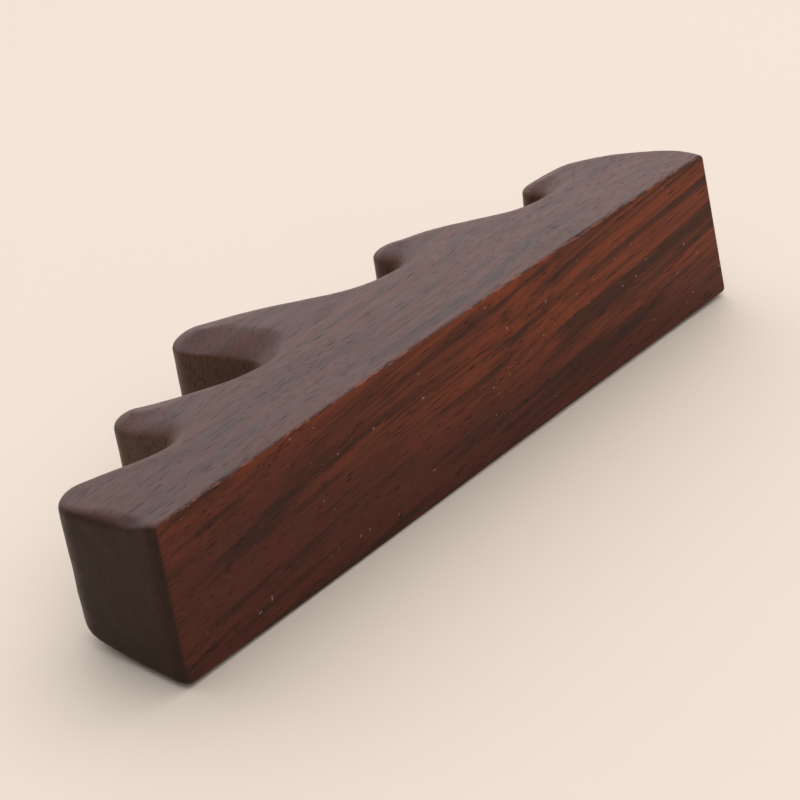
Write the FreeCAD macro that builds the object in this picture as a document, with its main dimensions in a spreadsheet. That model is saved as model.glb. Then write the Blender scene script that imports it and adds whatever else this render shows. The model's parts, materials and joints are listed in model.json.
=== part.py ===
"""Calligraphy brush rest: one block of hardwood, sawn to five leaning crests and rounded by hand.

The block is drawn upright in its body: +X along the base, +Y from the base up to the crests and
+Z through the thickness, with Z = 0 on the mid-plane.  Its Placement then lays it on its flat
lower cheek, with +Z up and the origin under the middle of its bounding box.
"""

import FreeCAD
import Part
import Sketcher

import math
import os
from FreeCAD import Vector

# Driving dimensions: alias, value in millimetres or degrees, what it is.
DIMENSIONS = [
    ("base_length", 140.7, "base face, from end to end before its heel is rounded"),
    ("block_thickness", 30.2, "across the base, from cheek to cheek"),
    ("cheek_taper", 5.4, "angle of each cheek to the mid-plane, in degrees"),
    ("rim_round", 3.0, "rounding of the wavy rim on both cheeks"),
    ("heel_round", 5.0, "radius that eases the near end into the base face"),
    ("heel_inset", 0.7, "how far that round cuts into the base face"),
    ("end_lean", 4.5, "lean of the near end's face, out over the base, in degrees"),
    ("pitch_1_2", 22.6, "first crest to the second"),
    ("pitch_2_3", 26.0, "second crest to the third"),
    ("pitch_3_4", 38.8, "third crest to the fourth"),
    ("pitch_4_5", 30.6, "fourth crest to the fifth"),
    ("crest_1_height", 23.2, "base face to the top of the crest"),
    ("crest_2_height", 36.2, "base face to the top of the crest"),
    ("crest_3_height", 49.0, "base face to the top of the crest"),
    ("crest_4_height", 37.0, "base face to the top of the crest"),
    ("crest_5_height", 27.4, "base face to the top of the crest"),
    ("crest_1_round", 5.4, "radius of the crest in side view"),
    ("crest_2_round", 4.0, "radius of the crest in side view"),
    ("crest_3_round", 5.0, "radius of the crest in side view"),
    ("crest_4_round", 4.4, "radius of the crest in side view"),
    ("crest_5_round", 3.4, "radius of the crest in side view"),
    ("floor_1_height", 18.6, "base face to the floor of the notch"),
    ("floor_2_height", 24.7, "base face to the floor of the notch"),
    ("floor_3_height", 26.0, "base face to the floor of the notch"),
    ("floor_4_height", 19.7, "base face to the floor of the notch"),
    ("floor_1_round", 3.0, "radius in the notch, under the next crest"),
    ("floor_2_round", 4.0, "radius in the notch, under the next crest"),
    ("floor_3_round", 4.0, "radius in the notch, under the next crest"),
    ("floor_4_round", 2.6, "radius in the notch, under the next crest"),
    ("wall_2_lean", 0.0, "lean of the wall before the crest, towards the near end, in degrees"),
    ("wall_3_lean", 8.0, "lean of the wall before the crest, towards the near end, in degrees"),
    ("wall_4_lean", 1.0, "lean of the wall before the crest, towards the near end, in degrees"),
    ("wall_5_lean", 7.0, "lean of the wall before the crest, towards the near end, in degrees"),
    ("hollow_1_round", 9.0, "radius of the hollow between the crest's back and the floor"),
    ("hollow_2_round", 15.0, "radius of the hollow between the crest's back and the floor"),
    ("hollow_3_round", 16.0, "radius of the hollow between the crest's back and the floor"),
    ("hollow_4_round", 12.0, "radius of the hollow between the crest's back and the floor"),
    ("tail_sweep", 17.9, "lean of the last back at its foot, out over the base's end, in degrees"),
]
D = {alias: value for alias, value, meaning in DIMENSIONS}
CRESTS = 5

LABEL = "carved_block"
FLAT = 1e-4  # mm, how near a point lies to a face it is on


def add_spreadsheet(doc):
    """Write the driving dimensions to a spreadsheet, one row each, with an alias."""
    sheet = doc.addObject("Spreadsheet::Sheet", "Dimensions")
    for row, (alias, value, meaning) in enumerate(DIMENSIONS, start=1):
        sheet.set("A%d" % row, alias)
        sheet.set("B%d" % row, str(value))
        sheet.setAlias("B%d" % row, alias)
        sheet.set("C%d" % row, meaning)
    doc.recompute()
    return sheet


def origin_plane(body, role):
    """Return the body's own origin plane that has this role."""
    return next(plane for plane in body.Origin.OriginFeatures if plane.Role == role)


def sketch_on(body, role, name):
    """Add an empty sketch on one of the body's origin planes."""
    sketch = body.newObject("Sketcher::SketchObject", name)
    sketch.AttachmentSupport = (origin_plane(body, role), [""])
    sketch.MapMode = "FlatFace"
    return sketch


def line(start, end):
    """Return one straight piece of an outline."""
    return {"curve": Part.LineSegment(start, end), "start": 1, "end": 2}


def arc(centre, start, end, clockwise):
    """Return one round piece of an outline; a sketch stores every arc anticlockwise."""
    first, last = (end, start) if clockwise else (start, end)
    radius = (start - centre).Length
    angles = [math.atan2(p.y - centre.y, p.x - centre.x) for p in (first, last)]
    if angles[1] < angles[0]:
        angles[1] += 2 * math.pi
    circle = Part.Circle(centre, Vector(0, 0, 1), radius)
    curve = Part.ArcOfCircle(circle, angles[0], angles[1])
    return {"curve": curve, "start": 2 if clockwise else 1, "end": 1 if clockwise else 2}


def draw_loop(sketch, pieces):
    """Draw a closed outline and join each piece's end to the next one's start."""
    indices = [sketch.addGeometry(piece["curve"], False) for piece in pieces]
    for here in range(len(pieces)):
        there = (here + 1) % len(pieces)
        joint = ("Coincident", indices[here], pieces[here]["end"],
                 indices[there], pieces[there]["start"])
        sketch.addConstraint(Sketcher.Constraint(*joint))


def crossing_line(first, first_radius, second, second_radius):
    """Return both ends of the line from one circle's left side to the other's right side."""
    span = second - first
    turn = math.asin((first_radius + second_radius) / span.Length)
    angle = math.atan2(span.y, span.x) - turn
    left = Vector(-math.sin(angle), math.cos(angle), 0)
    return first + left * first_radius, second - left * second_radius


def leaning(alias):
    """Return the direction up a face that leans towards the near end by this many degrees."""
    lean = math.radians(D[alias])
    return Vector(-math.sin(lean), math.cos(lean), 0)


def to_the_right(direction):
    """Return the direction a quarter turn clockwise from this one."""
    return Vector(direction.y, -direction.x, 0)


def crest_circle(number):
    """Return the centre and radius of a crest; the first one touches the near end's face."""
    radius = D["crest_%d_round" % number]
    height = D["crest_%d_height" % number] - radius
    if number > 1:
        pitch = D["pitch_%d_%d" % (number - 1, number)]
        return Vector(crest_circle(number - 1)[0].x + pitch, height, 0), radius
    up = leaning("end_lean")
    return Vector((radius + height * up.x) / up.y, height, 0), radius


def floor_circle(number):
    """Return the centre and radius of the round in the notch after this crest."""
    radius = D["floor_%d_round" % number]
    height = D["floor_%d_height" % number] + radius
    crest, crest_radius = crest_circle(number + 1)
    up = leaning("wall_%d_lean" % (number + 1))
    across = to_the_right(up) * -(radius + crest_radius)
    wall_length = (crest.y + across.y - height) / up.y
    if wall_length <= 0:
        raise ValueError("notch %d is too shallow for its rounds" % number)
    return crest + across - up * wall_length, radius


def wall_points(number):
    """Return both ends of the steep wall from a notch's floor up to the next crest."""
    low, low_radius = floor_circle(number)
    high, high_radius = crest_circle(number + 1)
    right = to_the_right(leaning("wall_%d_lean" % (number + 1)))
    return low + right * low_radius, high - right * high_radius


def near_end():
    """Return the heel's centre and both its ends, and the top of the near end's face."""
    up = leaning("end_lean")
    right = to_the_right(up)
    radius = D["heel_round"]
    foot = Vector(D["heel_inset"], 0, 0)
    along = up.dot(foot)
    rise = along + math.sqrt(along ** 2 - foot.Length ** 2 + 2 * radius * right.dot(foot))
    crest, crest_radius = crest_circle(1)
    return up * rise + right * radius, foot, up * rise, crest - right * crest_radius


def tail(crest, radius):
    """Return the centre and both ends of the last back, down to the base's far end.

    The back is the arc that leaves the base's end with its lean and runs into the crest's round.
    """
    foot = Vector(D["base_length"], 0, 0)
    lean = math.radians(D["tail_sweep"])
    inward = Vector(-math.cos(lean), math.sin(lean), 0)
    span = crest - foot
    sweep = (span.Length ** 2 - radius ** 2) / (2 * (span.dot(inward) - radius))
    centre = foot + inward * sweep
    outward = (crest - centre) / (crest - centre).Length
    return centre, crest + outward * radius, foot


def side_outline():
    """Return the block's outline in side view, clockwise from the base's near corner."""
    heel, heel_foot, heel_top, here = near_end()
    pieces = [
        arc(heel, heel_foot, heel_top, clockwise=True),
        line(heel_top, here),
    ]
    for number in range(1, CRESTS):
        crest, radius = crest_circle(number)
        floor, floor_radius = floor_circle(number)
        hollow_radius = D["hollow_%d_round" % number]
        hollow = floor + Vector(0, hollow_radius - floor_radius, 0)
        floor_foot = floor - Vector(0, floor_radius, 0)
        back_top, back_foot = crossing_line(crest, radius, hollow, hollow_radius)
        wall_foot, wall_top = wall_points(number)
        pieces += [
            arc(crest, here, back_top, clockwise=True),
            line(back_top, back_foot),
            arc(hollow, back_foot, floor_foot, clockwise=False),
            arc(floor, floor_foot, wall_foot, clockwise=False),
            line(wall_foot, wall_top),
        ]
        here = wall_top
    crest, radius = crest_circle(CRESTS)
    tail_centre, tail_start, foot = tail(crest, radius)
    pieces += [
        arc(crest, here, tail_start, clockwise=True),
        arc(tail_centre, tail_start, foot, clockwise=True),
        line(foot, heel_foot),
    ]
    return pieces


def saw_block(body):
    """Saw the wavy block: the side outline, through the whole thickness."""
    sketch = sketch_on(body, "XY_Plane", "SideOutline")
    draw_loop(sketch, side_outline())
    pad = body.newObject("PartDesign::Pad", "Block")
    pad.Profile = sketch
    pad.SideType = "Symmetric"
    pad.setExpression("Length", "Dimensions.block_thickness")
    sketch.Visibility = False
    return pad


def wedge(side):
    """Return the outline of the waste beside one cheek, in the plane across the block."""
    slope = math.tan(math.radians(D["cheek_taper"]))
    half = D["block_thickness"] / 2
    low = -half / 2
    high = D["crest_3_height"] + half
    outside = half + half / 2
    corners = [
        Vector(low, side * (half - low * slope), 0),
        Vector(high, side * (half - high * slope), 0),
        Vector(high, side * outside, 0),
        Vector(low, side * outside, 0),
    ]
    return [line(corners[n], corners[(n + 1) % 4]) for n in range(4)]


def taper_cheeks(body):
    """Plane both cheeks so that the block is thinner at the crests than at the base."""
    sketch = sketch_on(body, "YZ_Plane", "CheekWaste")
    draw_loop(sketch, wedge(1))
    draw_loop(sketch, wedge(-1))
    pocket = body.newObject("PartDesign::Pocket", "Cheeks")
    pocket.Profile = sketch
    pocket.SideType = "Symmetric"
    pocket.Type = "Length"
    pocket.setExpression("Length", "4 * Dimensions.base_length")
    sketch.Visibility = False
    return pocket


def on_cheek(point):
    """Tell whether a point lies on one of the two tapered cheeks."""
    slope = math.tan(math.radians(D["cheek_taper"]))
    return abs(abs(point.z) - D["block_thickness"] / 2 + point.y * slope) < FLAT


def edge_points(edge):
    """Return an edge's two ends and its middle."""
    first, last = edge.ParameterRange
    return [edge.valueAt(t) for t in (first, (first + last) / 2, last)]


def named_edges(feature, test):
    """Return the names of the feature's edges whose points pass the test."""
    return ["Edge%d" % number for number, edge in enumerate(feature.Shape.Edges, start=1)
            if test(edge_points(edge))]


def on_rim(points):
    """Tell whether an edge lies between a cheek and the wavy side, not at the base."""
    return all(on_cheek(p) for p in points) and not on_base(points)


def on_base(points):
    """Tell whether an edge lies in the base face."""
    return all(abs(p.y) < FLAT for p in points)


def round_over(body, feature, name, test, alias):
    """Round the edges that pass the test, with the radius of this alias."""
    edges = named_edges(feature, test)
    if not edges:
        raise RuntimeError("no edge to round for " + name)
    fillet = body.newObject("PartDesign::Fillet", name)
    fillet.Base = (feature, edges)
    fillet.setExpression("Radius", "Dimensions." + alias)
    return fillet


def lay_down(doc, body):
    """Lay the block on its lower cheek and put the origin under the middle of its box."""
    turn = FreeCAD.Rotation(Vector(1, 0, 0), -D["cheek_taper"])
    body.Placement = FreeCAD.Placement(Vector(0, 0, 0), turn)
    doc.recompute()
    box = body.Shape.optimalBoundingBox(False)
    shift = Vector(-(box.XMin + box.XMax) / 2, -(box.YMin + box.YMax) / 2, -box.ZMin)
    body.Placement = FreeCAD.Placement(shift, turn)
    doc.recompute()


def check(doc):
    """Stop if any object failed, or made no solid where it should."""
    for item in doc.Objects:
        if "Invalid" in item.State or "Error" in item.State:
            raise RuntimeError("%s did not build: %s" % (item.Name, item.State))
        shape = getattr(item, "Shape", None)
        if shape is None or item.TypeId.startswith("App::"):
            continue
        if shape.isNull() or not shape.isValid():
            raise RuntimeError(item.Name + " has no valid shape")


def build():
    """Build the document and write the node's file."""
    doc = FreeCAD.newDocument("BrushRest")
    add_spreadsheet(doc)
    body = doc.addObject("PartDesign::Body", "CarvedBlock")
    body.Label = LABEL
    block = saw_block(body)
    doc.recompute()
    cheeks = taper_cheeks(body)
    doc.recompute()
    if cheeks.Shape.Volume > 0.95 * block.Shape.Volume:
        raise RuntimeError("the cheeks were not planed")
    rim = round_over(body, cheeks, "RimRound", on_rim, "rim_round")
    doc.recompute()
    body.Tip = rim
    lay_down(doc, body)
    check(doc)
    os.makedirs("parts", exist_ok=True)
    body.Shape.exportStep("parts/%s.step" % body.Label)
    box = body.Shape.optimalBoundingBox(False)
    print("%s %.2f x %.2f x %.2f mm, %.0f mm3" % (
        body.Label, box.XLength, box.YLength, box.ZLength, body.Shape.Volume))


build()
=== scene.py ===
import json
import math

import bmesh
import bpy
import numpy as np
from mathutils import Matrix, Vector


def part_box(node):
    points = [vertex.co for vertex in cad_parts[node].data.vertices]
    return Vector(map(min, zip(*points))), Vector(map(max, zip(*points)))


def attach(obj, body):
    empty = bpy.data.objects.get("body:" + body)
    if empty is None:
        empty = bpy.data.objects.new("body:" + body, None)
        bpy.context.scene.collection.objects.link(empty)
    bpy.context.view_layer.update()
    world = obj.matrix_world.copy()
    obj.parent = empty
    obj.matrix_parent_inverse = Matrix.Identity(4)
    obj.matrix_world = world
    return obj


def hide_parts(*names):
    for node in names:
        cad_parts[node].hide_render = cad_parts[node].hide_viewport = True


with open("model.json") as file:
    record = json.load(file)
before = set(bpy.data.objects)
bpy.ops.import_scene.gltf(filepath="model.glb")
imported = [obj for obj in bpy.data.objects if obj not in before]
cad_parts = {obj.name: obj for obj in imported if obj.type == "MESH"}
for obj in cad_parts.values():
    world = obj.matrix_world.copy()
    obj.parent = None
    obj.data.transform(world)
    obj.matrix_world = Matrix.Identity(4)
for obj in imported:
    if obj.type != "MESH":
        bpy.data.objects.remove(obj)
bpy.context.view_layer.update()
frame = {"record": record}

import openvdb
from mathutils import Matrix, Vector, noise

MM = 0.001

# The CAD model's driving dimensions, in millimetres and degrees, upright: x along the base,
# y from the base up to the crests, z through the thickness from the mid-plane.
BASE_LENGTH = 140.7
THICKNESS = 30.2
TAPER = math.radians(5.4)
END_LEAN = math.radians(4.5)
HEEL_ROUND = 5.0
HEEL_INSET = 0.7
TAIL_SWEEP = math.radians(17.9)
# Each crest: pitch from the one before, height, radius, and the lean of the wall before it.
# The first stands at the near end, so it has neither a pitch nor a wall.
CRESTS = (
    (None, 23.2, 5.4, None),
    (22.6, 36.2, 4.0, 0.0),
    (26.0, 49.0, 5.0, 8.0),
    (38.8, 37.0, 4.4, 1.0),
    (30.6, 27.4, 3.4, 7.0),
)
# Each notch: height of its floor, radius under the next crest, radius of the hollow behind.
NOTCHES = (
    (18.6, 3.0, 9.0),
    (24.7, 4.0, 15.0),
    (26.0, 4.0, 16.0),
    (19.7, 2.6, 12.0),
)

# ---------------------------------------------------------------- outline in side view

ARC_SPACING = 0.3  # mm, between the points of an arc
RUN_BELOW = 4.0  # mm, how far the outline's ends run on below the base face


def unit(angle):
    """Return the unit vector at this angle."""
    return np.array((math.cos(angle), math.sin(angle)))


def clockwise(v):
    """Return v turned a quarter turn clockwise."""
    return np.array((v[1], -v[0]))


def round_run(centre, start, end, turn):
    """Return points along an arc from start towards end; turn is -1 for clockwise."""
    radius = np.linalg.norm(start - centre)
    first = math.atan2(*(start - centre)[::-1])
    sweep = (turn * (math.atan2(*(end - centre)[::-1]) - first)) % (2 * math.pi)
    count = max(2, int(radius * sweep / ARC_SPACING))
    return [centre + radius * unit(first + turn * sweep * n / count) for n in range(count)]


def crest_circles():
    """Return each crest's centre and radius."""
    circles = []
    for pitch, height, radius, _ in CRESTS:
        y = height - radius
        if circles:
            x = circles[-1][0][0] + pitch
        else:
            x = (radius - y * math.sin(END_LEAN)) / math.cos(END_LEAN)
        circles.append((np.array((x, y)), radius))
    return circles


def crossing_line(first, first_radius, second, second_radius):
    """Return both ends of the line from one circle's left side to the other's right side."""
    span = second - first
    length = np.linalg.norm(span)
    angle = math.atan2(span[1], span[0]) - math.asin((first_radius + second_radius) / length)
    left = -clockwise(unit(angle))
    return first + left * first_radius, second - left * second_radius


def side_outline():
    """Return the closed outline, clockwise; its ends run on below the base face."""
    up = unit(math.pi / 2 + END_LEAN)
    right = clockwise(up)
    foot = np.array((HEEL_INSET, 0.0))
    along = up @ foot
    rise = along + math.sqrt(along ** 2 - foot @ foot + 2 * HEEL_ROUND * (right @ foot))
    heel = up * rise + right * HEEL_ROUND
    tangent = clockwise(foot - heel) / HEEL_ROUND
    circles = crest_circles()
    here = circles[0][0] - right * circles[0][1]
    points = [foot - tangent * RUN_BELOW]
    points += round_run(heel, foot, up * rise, -1)
    points.append(up * rise)
    for number, (floor_y, floor_radius, hollow_radius) in enumerate(NOTCHES):
        crest, radius = circles[number]
        crest_after, radius_after = circles[number + 1]
        up = unit(math.pi / 2 + math.radians(CRESTS[number + 1][3]))
        right = clockwise(up)
        across = crest_after - right * (floor_radius + radius_after)
        floor = across - up * (across[1] - floor_y - floor_radius) / up[1]
        hollow = floor + (0, hollow_radius - floor_radius)
        dip = floor - (0, floor_radius)
        back_top, back_foot = crossing_line(crest, radius, hollow, hollow_radius)
        points += round_run(crest, here, back_top, -1)
        points.append(back_top)
        points += round_run(hollow, back_foot, dip, 1)
        points += round_run(floor, dip, floor + right * floor_radius, 1)
        points.append(floor + right * floor_radius)
        here = crest_after - right * radius_after
    crest, radius = circles[-1]
    foot = np.array((BASE_LENGTH, 0.0))
    inward = unit(math.pi - TAIL_SWEEP)
    span = crest - foot
    sweep = (span @ span - radius ** 2) / (2 * (span @ inward - radius))
    centre = foot + inward * sweep
    start = crest + (crest - centre) / (sweep - radius) * radius
    points += round_run(crest, here, start, -1)
    points += round_run(centre, start, foot, -1)
    points.append(foot)
    points.append(foot + clockwise(foot - centre) / sweep * RUN_BELOW)
    return np.array(points)


OUTLINE = side_outline()
ABOVE_BASE = OUTLINE[OUTLINE[:, 1] >= 0]

# The block's place in the row frame, from the record's standing base and the CAD box.
BASE_MOUNT = next(m for m in frame["record"]["mounts"] if m["name"] == "standing_base")
BLOCK_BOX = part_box("carved_block")
PLACE = Matrix.Translation((
    BLOCK_BOX[0][0] - ABOVE_BASE[:, 0].min() * MM,
    BASE_MOUNT["pos_m"][1],
    BASE_MOUNT["pos_m"][2],
)) @ Matrix.Rotation(-TAPER, 4, "X") @ Matrix.Scale(MM, 4)

# ---------------------------------------------------------------- the carved block's skin

VOXEL = 0.43  # mm, spacing of the grid that the skin is drawn on
BELOW_MARGIN = (3.0, 2.0, 2.0)  # mm, room in the grid before the block along x, y and z
ABOVE_MARGIN = (4.0, 3.0, 2.0)  # mm, room beyond it
CUT_TOLERANCE = 1e-4  # mm
EDGE = 0.45  # mm, radius of the worn round on the base face's edge
EDGE_STEPS = 4  # faces across that round


def outline_distance(x, y):
    """Return each point's distance to the outline, negative inside."""
    nearest = np.full(x.shape, np.inf)
    inside = np.zeros(x.shape, bool)
    for a, b in zip(OUTLINE, np.roll(OUTLINE, -1, axis=0)):
        run = b - a
        t = ((x - a[0]) * run[0] + (y - a[1]) * run[1]) / (run @ run)
        t = np.clip(t, 0, 1)
        nearest = np.minimum(nearest, np.hypot(x - a[0] - t * run[0], y - a[1] - t * run[1]))
        if a[1] != b[1]:
            crosses = (a[1] > y) != (b[1] > y)
            inside ^= crosses & (x < run[0] * (y - a[1]) / run[1] + a[0])
    return np.where(inside, -nearest, nearest)


def spot(x, y, at, size):
    """Return a soft spot, 1 at its middle."""
    return np.exp(-((x - at[0]) ** 2 + (y - at[1]) ** 2) / size ** 2)


# Where the hand-carved rim differs: x, y, reach of the spot, then the round's reach in over the
# cheek, its reach down the wall and its fullness (1 a flat bevel, 2 a round).
UPPER_RIM = (3.6, 3.0, 2.0)
UPPER_SPOTS = (
    (48.0, 42.0, 9.0, 11.0, 3.0, 1.2),
    (50.5, 29.0, 7.0, 9.0, 3.2, 1.3),
    (26.0, 31.0, 6.5, 8.0, 2.8, 1.3),
    (91.5, 34.0, 6.0, 7.0, 2.6, 1.3),
    (121.5, 25.0, 5.5, 6.0, 2.4, 1.3),
    (3.0, 19.0, 9.0, 1.2, 1.0, 2.0),
    (1.0, 2.0, 6.0, 1.0, 0.8, 2.0),
    (1.0, 6.0, 3.2, 2.2, 1.5, 1.1),
    (140.0, 2.0, 8.0, 0.9, 0.8, 2.0),
)
LOWER_RIM = (3.6, 3.2, 2.0)
LOWER_SPOTS = (
    (0.0, 8.0, 9.0, 1.6, 1.4, 2.0),
    (4.0, 22.5, 5.0, 6.0, 5.2, 2.0),
    (50.0, 42.0, 8.0, 6.5, 5.0, 2.0),
    (26.0, 32.0, 6.0, 5.5, 4.0, 2.0),
    (1.0, 1.0, 7.0, 1.0, 0.8, 2.0),
    (140.0, 1.0, 8.0, 0.9, 0.8, 2.0),
)


def rim_sizes(x, y, upper):
    """Return the round's reach in over the cheek, its reach down the wall and its fullness."""
    plain = UPPER_RIM if upper else LOWER_RIM
    sizes = [np.full(x.shape, value) for value in plain]
    for at_x, at_y, size, *wanted in UPPER_SPOTS if upper else LOWER_SPOTS:
        weight = spot(x, y, (at_x, at_y), size)
        sizes = [old + weight * (new - old) for old, new in zip(sizes, wanted)]
    return sizes


def carved_mesh():
    """Return the block's skin as vertices and quads, upright and in millimetres."""
    tallest = max(height for _, height, _, _ in CRESTS)
    low = np.array((0.0, 0.0, -THICKNESS / 2)) - BELOW_MARGIN
    high = np.array((BASE_LENGTH, tallest, THICKNESS / 2)) + ABOVE_MARGIN
    xs, ys, zs = (np.arange(a, b, VOXEL) for a, b in zip(low, high))
    x, y = np.meshgrid(xs, ys, indexing="ij")
    side = outline_distance(x, y)[:, :, None]
    half = (THICKNESS / 2 - y * math.tan(TAPER))[:, :, None]
    field = np.empty((len(xs), len(ys), len(zs)), np.float32)
    for upper in (True, False):
        part = zs >= 0 if upper else zs < 0
        cheek = (np.abs(zs[part])[None, None, :] - half) * math.cos(TAPER)
        inward, down, fullness = (r[:, :, None] for r in rim_sizes(x, y, upper))
        p = np.maximum((side + inward) / inward, 0)
        q = np.maximum((cheek + down) / down, 0)
        rounded = (p ** fullness + q ** fullness) ** (1 / fullness) - 1
        rounded *= np.minimum(inward, down)
        flat = np.maximum(side, cheek)
        field[:, :, part] = np.where((p > 0) & (q > 0), rounded, flat)
    grid = openvdb.FloatGrid()
    grid.copyFromArray(field)
    points, quads = grid.convertToQuads()
    return points * VOXEL + low, quads


def block_mesh():
    """Return the finished mesh: the skin, cut off at the base and closed by its face."""
    points, quads = carved_mesh()
    bm = bmesh.new()
    verts = [bm.verts.new(p) for p in points]
    for quad in quads:
        bm.faces.new([verts[i] for i in quad])
    bmesh.ops.bisect_plane(
        bm, geom=bm.verts[:] + bm.edges[:] + bm.faces[:], dist=CUT_TOLERANCE,
        plane_co=(0, EDGE, 0), plane_no=(0, -1, 0), clear_outer=True)
    worn = bm.verts.layers.float.new("worn")
    close_base(bm, worn)
    bmesh.ops.recalc_face_normals(bm, faces=bm.faces[:])
    bm.normal_update()
    hand_finish(bm)
    bm.transform(PLACE)
    mesh = bpy.data.meshes.new("carved_wood")
    bm.to_mesh(mesh)
    bm.free()
    return mesh


FAR_END_SKEW = 0.08  # how far the far end's cut leans out towards the lower cheek
SKEW_REACH = 18.0  # mm, how far from the far end the skew begins
FAR_FOOT_FLARE = 1.2  # mm, how far the base face's lower edge runs out at the far end
FLARE_HEIGHT = 12.0  # mm above the base, where the flare has died out
END_THINNING = 0.045  # share of the thickness sanded away at both ends, so the cheeks bow
UNEVEN = 0.16  # mm, waviness of the hand-worked faces
FLAT_FOOT = 4.0  # mm above the base, over which the waviness sets in
# The waves that make it up: share, turns per mm along x, y and z, and offset along z.
WAVES = ((1.0, 0.045, 0.11, 0.11, 0.0), (0.35, 0.2, 0.32, 0.32, 7.0))
# Wear of the base face's edge: reach up the cheek and in over the face, in mm, and the share of
# it that is left on the lower edge and at both ends, which begin this far in.
WEAR_UP = 0.3
WEAR_IN = 0.25
FAINT_WEAR = 0.15
NEAR_END_WEAR = 2.0
FAR_END_WEAR = 1.0
# Where the base face's upper edge is dented: x, reach along the edge, depth, in mm.
DENTS = ((103.0, 3.6, 0.7), (53.0, 1.1, 0.5), (58.5, 0.8, 0.35), (14.0, 1.4, 0.35))
DENT_UP = 0.6  # a dent's direction: up from the base face and in from the cheek
DENT_IN = 0.8
DENT_RAGGED = 1.6  # turns per mm of a dent's ragged bottom


def clamp(value):
    """Return value, held between 0 and 1."""
    return min(max(value, 0), 1)


def hand_finish(bm):
    """Mark the wear, dent the edge, make the faces wavy, bow the cheeks and skew the far end."""
    middle = BASE_LENGTH / 2
    worn = bm.verts.layers.float["worn"]
    for vert in bm.verts:
        x, y, z = vert.co
        if y >= EDGE:
            vert[worn] = max(0.0, 1 - (y - EDGE) / WEAR_UP)
        if z < 0 or x < NEAR_END_WEAR or x > BASE_LENGTH - FAR_END_WEAR:
            vert[worn] *= FAINT_WEAR
        for at, reach, depth in DENTS if z > 0 else ():
            depth *= math.exp(-((x - at) / reach) ** 2) * vert[worn]
            depth *= 0.5 + noise.noise(Vector((x * DENT_RAGGED, 3.0, 1.0)))
            vert.co.y += DENT_UP * max(depth, 0)
            vert.co.z -= DENT_IN * max(depth, 0)
        lift = sum(share * noise.noise(Vector((x * along, y * up, z * through + offset)))
                   for share, along, up, through, offset in WAVES)
        vert.co += vert.normal * (UNEVEN * lift * clamp(y / FLAT_FOOT))
        vert.co.z -= z * END_THINNING * ((x - middle) / middle) ** 2
        share = clamp((x - BASE_LENGTH + SKEW_REACH) / SKEW_REACH)
        vert.co.x -= FAR_END_SKEW * z * share ** 2 * (3 - 2 * share)
        lower = clamp(0.5 - z / THICKNESS)
        share = clamp((x - middle) / middle)
        vert.co.y -= FAR_FOOT_FLARE * lower * share ** 2 * max(0, 1 - y / FLARE_HEIGHT)


def close_base(bm, worn):
    """Close the open foot with a worn edge and the flat base face."""
    verts = walk([e for e in bm.edges if e.is_boundary])
    ring = [v.co.copy() for v in verts]
    normals = ring_normals(ring)
    angles = [math.pi / 2 * n / EDGE_STEPS for n in range(1, EDGE_STEPS + 1)]
    levels = [(EDGE * (1 - math.cos(a)), EDGE * (1 - math.sin(a))) for a in angles]
    levels.append((EDGE + WEAR_IN, 0.0))
    for inset, y in levels:
        inner = []
        for point, normal in zip(ring, normals):
            at = (point.x - normal.x * inset, y, point.z - normal.z * inset)
            inner.append(bm.verts.new(at))
            inner[-1][worn] = max(0.0, 1 - inset / (EDGE + WEAR_IN))
        for n in range(len(ring)):
            m = (n + 1) % len(ring)
            bm.faces.new((verts[n], verts[m], inner[m], inner[n]))
        verts = inner
    bm.faces.new(verts)


def walk(edges):
    """Return the vertices of a closed loop of edges, in order."""
    start = edges[0].verts[0]
    loop = [start]
    edge = edges[0]
    vert = edge.other_vert(start)
    while vert != start:
        loop.append(vert)
        edge = next(e for e in vert.link_edges if e.is_boundary and e != edge)
        vert = edge.other_vert(vert)
    return loop


def ring_normals(ring, reach=3):
    """Return the outward direction at each point, from its neighbours within reach."""
    count = len(ring)
    middle = sum(ring, Vector()) / count
    normals = []
    for n in range(count):
        run = ring[(n + reach) % count] - ring[n - reach]
        normal = Vector((run.z, 0, -run.x)).normalized()
        normals.append(normal)
    if sum(n.dot(p - middle) for n, p in zip(normals, ring)) < 0:
        normals = [-n for n in normals]
    return normals


mesh = block_mesh()
mesh.shade_smooth()
block = bpy.data.objects.new("carved_wood", mesh)
bpy.context.collection.objects.link(block)
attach(block, "root")
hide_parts("carved_block")

# ---------------------------------------------------------------- wood

# The grain runs a little off the block's length.
GRAIN_TURN = (0.0, math.radians(5.0), math.radians(-3.0))
GRAIN_WANDER = (0.0, 0.006, 0.006)  # metres, how far it strays sideways

wood = bpy.data.materials.new("dark_rosewood")
wood.use_nodes = True
tree = wood.node_tree
bsdf = tree.nodes["Principled BSDF"]


def socket(value, target):
    """Feed a socket from another socket, or set its value."""
    if isinstance(value, bpy.types.NodeSocket):
        tree.links.new(value, target)
    elif value is not None:
        target.default_value = value


def add_node(kind, settings=None, **inputs):
    """Add a node with these settings, and fill its inputs by name."""
    made = tree.nodes.new(kind)
    for name, value in (settings or {}).items():
        setattr(made, name, value)
    for name, value in inputs.items():
        socket(value, made.inputs[name])
    return made


def calc(operation, a, b=None, c=None):
    """Return the result of a sum on one to three values."""
    made = add_node("ShaderNodeMath", {"operation": operation})
    for value, target in zip((a, b, c), made.inputs):
        socket(value, target)
    return made.outputs[0]


def vector_calc(operation, a, b):
    """Return the result of a sum on two vectors."""
    made = add_node("ShaderNodeVectorMath", {"operation": operation})
    socket(a, made.inputs[0])
    socket(b, made.inputs[1])
    return made.outputs[0]


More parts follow.
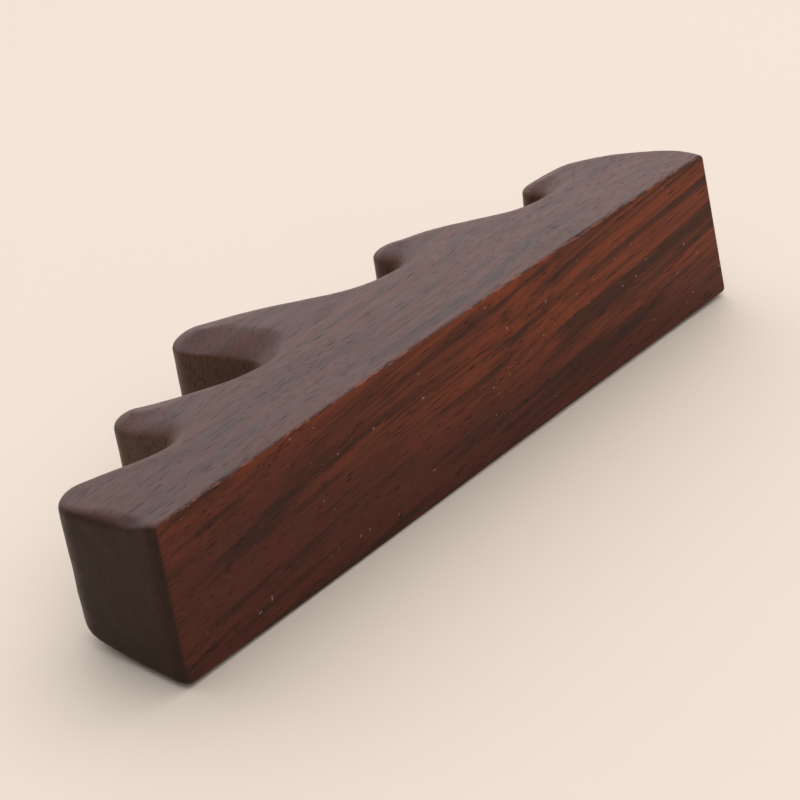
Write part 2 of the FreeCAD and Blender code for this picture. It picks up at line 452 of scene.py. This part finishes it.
def step(value, low, high, out_low=0.0, out_high=1.0):
    """Return a soft step from out_low, at low, to out_high, at high."""
    made = add_node("ShaderNodeMapRange", {"interpolation_type": "SMOOTHSTEP"})
    for name, part in zip(("Value", "From Min", "From Max", "To Min", "To Max"),
                          (value, low, high, out_low, out_high)):
        socket(part, made.inputs[name])
    return made.outputs["Result"]


def blend_colors(amount, first, second):
    """Return a mix of two colours; amount 1 gives the second."""
    made = add_node("ShaderNodeMix", {"data_type": "RGBA"})
    socket(amount, made.inputs["Factor"])
    socket(first, made.inputs[6])
    socket(second, made.inputs[7])
    return made.outputs[2]


def grain_noise(at, cells, detail=2.0, roughness=0.5):
    """Return noise with this many cells per metre along and across the grain."""
    scaled = vector_calc("MULTIPLY", at, cells)
    made = add_node("ShaderNodeTexNoise", Vector=scaled, Scale=1.0, Detail=detail,
                    Roughness=roughness)
    return made.outputs["Fac"]


place = add_node("ShaderNodeTexCoord")
turned = add_node("ShaderNodeMapping", Vector=place.outputs["Object"], Rotation=GRAIN_TURN)
wander = add_node("ShaderNodeTexNoise", Vector=turned.outputs[0], Scale=16.0, Detail=1.0)
wander = vector_calc("SUBTRACT", wander.outputs["Color"], (0.5, 0.5, 0.5))
along_grain = vector_calc("ADD", turned.outputs[0],
                          vector_calc("MULTIPLY", wander, GRAIN_WANDER))

facing = add_node("ShaderNodeSeparateXYZ", Vector=place.outputs["Normal"])
end_grain = step(calc("ABSOLUTE", facing.outputs["X"]), 0.35, 1.0)
# The base face: the one face left without the painted sheen.
base_face_mask = step(calc("MULTIPLY", facing.outputs["Y"], -1.0), 0.75, 0.95)

figure = grain_noise(along_grain, (5.5, 430.0, 400.0), 4.0, 0.6)
streaks = grain_noise(along_grain, (12.0, 1300.0, 1000.0), 3.0, 0.6)
fibre = grain_noise(along_grain, (80.0, 4200.0, 3200.0), 2.0, 0.6)
pores = step(grain_noise(along_grain, (210.0, 6400.0, 4200.0), 0.0), 0.69, 0.78)
rays = step(grain_noise(along_grain, (600.0, 4200.0, 700.0), 1.0), 0.52, 0.70)
specks = grain_noise(place.outputs["Object"], (1300.0, 1300.0, 1300.0), 0.0)
specks = step(specks, 0.835, 0.85)
edge_worn = add_node("ShaderNodeAttribute", {"attribute_name": "worn"}).outputs["Fac"]
edge_breaks = grain_noise(place.outputs["Object"], (420.0, 1500.0, 1500.0), 3.0, 0.7)
position = add_node("ShaderNodeSeparateXYZ", Vector=place.outputs["Object"])
# Painted shade: the near end's face, painted darker for the shade it stands in.
near_end_painted_shade = step(position.outputs["X"], -0.058, -0.064)

# Redder in patches of the wood's own tone, and redder higher up the base face and towards the far
# end; maroon lower down and towards the near end.
patches = grain_noise(along_grain, (9.0, 90.0, 90.0), 1.0)
redness = calc("MULTIPLY", patches, 0.9)
redness = calc("MULTIPLY_ADD", position.outputs["Z"], 26.0, redness)
redness = calc("MULTIPLY_ADD", position.outputs["X"], 3.0, redness)

RED = (0.205, 0.042, 0.014, 1)
MAROON = (0.090, 0.022, 0.014, 1)
BROWN = (0.075, 0.020, 0.010, 1)
NEAR_BLACK = (0.026, 0.011, 0.007, 1)
AGED_TONE_AND_SHEEN = (0.060, 0.036, 0.033, 1)  # an aged tone with painted sheen mixed in, on every face but the base's
AGED_TONE_AND_SHEEN_SHARE = 0.72
END_BROWN = (0.090, 0.040, 0.021, 1)
# the dark rays of the end grain, also used as the painted shade on the near end
END_RAYS_AND_SHADE = (0.022, 0.009, 0.004, 1)
PORE = (0.010, 0.006, 0.005, 1)
WORN_EDGE = (0.30, 0.085, 0.05, 1)
SPECK = (0.34, 0.24, 0.19, 1)
WOOD_SPECULAR = 0.12
PORE_DEPTH = 0.00006  # metres

color = blend_colors(step(redness, 0.65, 1.25), MAROON, RED)
color = blend_colors(step(streaks, 0.42, 0.64, 0.0, 0.75), color, BROWN)
color = blend_colors(step(figure, 0.47, 0.64, 0.0, 0.75), color, NEAR_BLACK)
# Painted sheen: every face but the base face is mixed towards a grey that stands in for its
# sheen, along with an aged tone.
aged_and_sheen = blend_colors(AGED_TONE_AND_SHEEN_SHARE, color, AGED_TONE_AND_SHEEN)
color = blend_colors(base_face_mask, aged_and_sheen, color)
end_color = blend_colors(rays, END_BROWN, END_RAYS_AND_SHADE)
# Painted shade: the near end's face is mixed most of the way to the dark end-grain colour.
end_color = blend_colors(calc("MULTIPLY", near_end_painted_shade, 0.9), end_color, END_RAYS_AND_SHADE)
color = blend_colors(calc("MULTIPLY", end_grain, 0.9), color, end_color)
color = blend_colors(step(fibre, 0.45, 0.75, 0.0, 0.25), color, NEAR_BLACK)
color = blend_colors(calc("MULTIPLY", pores, 0.75), color, PORE)
specks = calc("MULTIPLY", specks, calc("MULTIPLY", base_face_mask, 0.6))
color = blend_colors(specks, color, SPECK)
breaks = step(edge_breaks, 0.47, 0.60, 0.0, 0.7)
wear = calc("MULTIPLY", step(edge_worn, 0.3, 0.9), breaks)
color = blend_colors(wear, color, WORN_EDGE)
socket(color, bsdf.inputs["Base Color"])

rough = calc("MULTIPLY_ADD", fibre, 0.16, 0.33)
socket(calc("MULTIPLY_ADD", pores, 0.25, rough), bsdf.inputs["Roughness"])
bsdf.inputs["Specular IOR Level"].default_value = WOOD_SPECULAR

height = calc("MULTIPLY_ADD", pores, -1.0, calc("MULTIPLY", fibre, 0.35))
bump = add_node("ShaderNodeBump", Height=height, Strength=0.8, Distance=PORE_DEPTH)
socket(bump.outputs[0], bsdf.inputs["Normal"])
mesh.materials.append(wood)

# ---------------------------------------------------------------- floor, lamps and camera


FLOOR_COLOR = (0.70, 0.595, 0.51, 1)
FLOOR_REACH = 3.0  # metres, from the middle to each side

pale = bpy.data.materials.new("pale_floor")
pale.use_nodes = True
pale_shader = pale.node_tree.nodes["Principled BSDF"]
pale_shader.inputs["Base Color"].default_value = FLOOR_COLOR
pale_shader.inputs["Roughness"].default_value = 0.8
pale_shader.inputs["Specular IOR Level"].default_value = 0.1

corners = [(x * FLOOR_REACH, y * FLOOR_REACH, 0) for x, y in ((-1, -1), (1, -1), (1, 1), (-1, 1))]
floor_mesh = bpy.data.meshes.new("floor")
floor_mesh.from_pydata(corners, [], [(0, 1, 2, 3)])
floor = bpy.data.objects.new("floor", floor_mesh)
bpy.context.collection.objects.link(floor)
floor_mesh.materials.append(pale)

LAMP_AT = Vector((0.25, -0.35, 1.25))
LAMP_TARGET = Vector((0, 0, 0.015))

lamp = bpy.data.lights.new("overhead", "AREA")
lamp.shape = "SQUARE"
lamp.size = 2.2
lamp.energy = 10
holder = bpy.data.objects.new("overhead", lamp)
holder.location = LAMP_AT
holder.rotation_euler = (LAMP_TARGET - LAMP_AT).to_track_quat("-Z", "Y").to_euler()
bpy.context.collection.objects.link(holder)

BRIGHT_SIDE = (0.45, 0.60, 0.66)  # the paler side of the studio, above and behind the block
BRIGHTNESS = {"From Min": 0.3, "From Max": 0.97, "To Min": 0.42, "To Max": 2.0}
STUDIO_TINT = (0.96, 0.985, 1, 1)

world = bpy.data.worlds.new("studio")
world.use_nodes = True
sky = world.node_tree
direction = sky.nodes.new("ShaderNodeTexCoord")
toward = sky.nodes.new("ShaderNodeVectorMath")
toward.operation = "DOT_PRODUCT"
toward.inputs[1].default_value = BRIGHT_SIDE
sky.links.new(direction.outputs["Generated"], toward.inputs[0])
level = sky.nodes.new("ShaderNodeMapRange")
level.interpolation_type = "SMOOTHSTEP"
for name, value in BRIGHTNESS.items():
    level.inputs[name].default_value = value
sky.links.new(toward.outputs["Value"], level.inputs["Value"])
background = sky.nodes["Background"]
background.inputs["Color"].default_value = STUDIO_TINT
sky.links.new(level.outputs[0], background.inputs["Strength"])
bpy.context.scene.world = world

CAMERA_AT = (-0.25166, -0.23955, 0.23336)
CAMERA_HEADING = math.radians(42.566)  # from +X towards +Y
CAMERA_DOWN = math.radians(33.374)
CAMERA_ROLL = math.radians(-4.0)

camera_data = bpy.data.cameras.new("camera")
camera_data.lens = 108.0
camera_data.sensor_width = 36.0
camera_data.clip_start = 0.01
camera = bpy.data.objects.new("camera", camera_data)
camera.matrix_world = (
    Matrix.Translation(CAMERA_AT)
    @ Matrix.Rotation(CAMERA_HEADING - math.pi / 2, 4, "Z")
    @ Matrix.Rotation(math.pi / 2 - CAMERA_DOWN, 4, "X")
    @ Matrix.Rotation(CAMERA_ROLL, 4, "Z"))
bpy.context.collection.objects.link(camera)
bpy.context.scene.camera = camera
bpy.context.scene.view_settings.view_transform = "Standard"
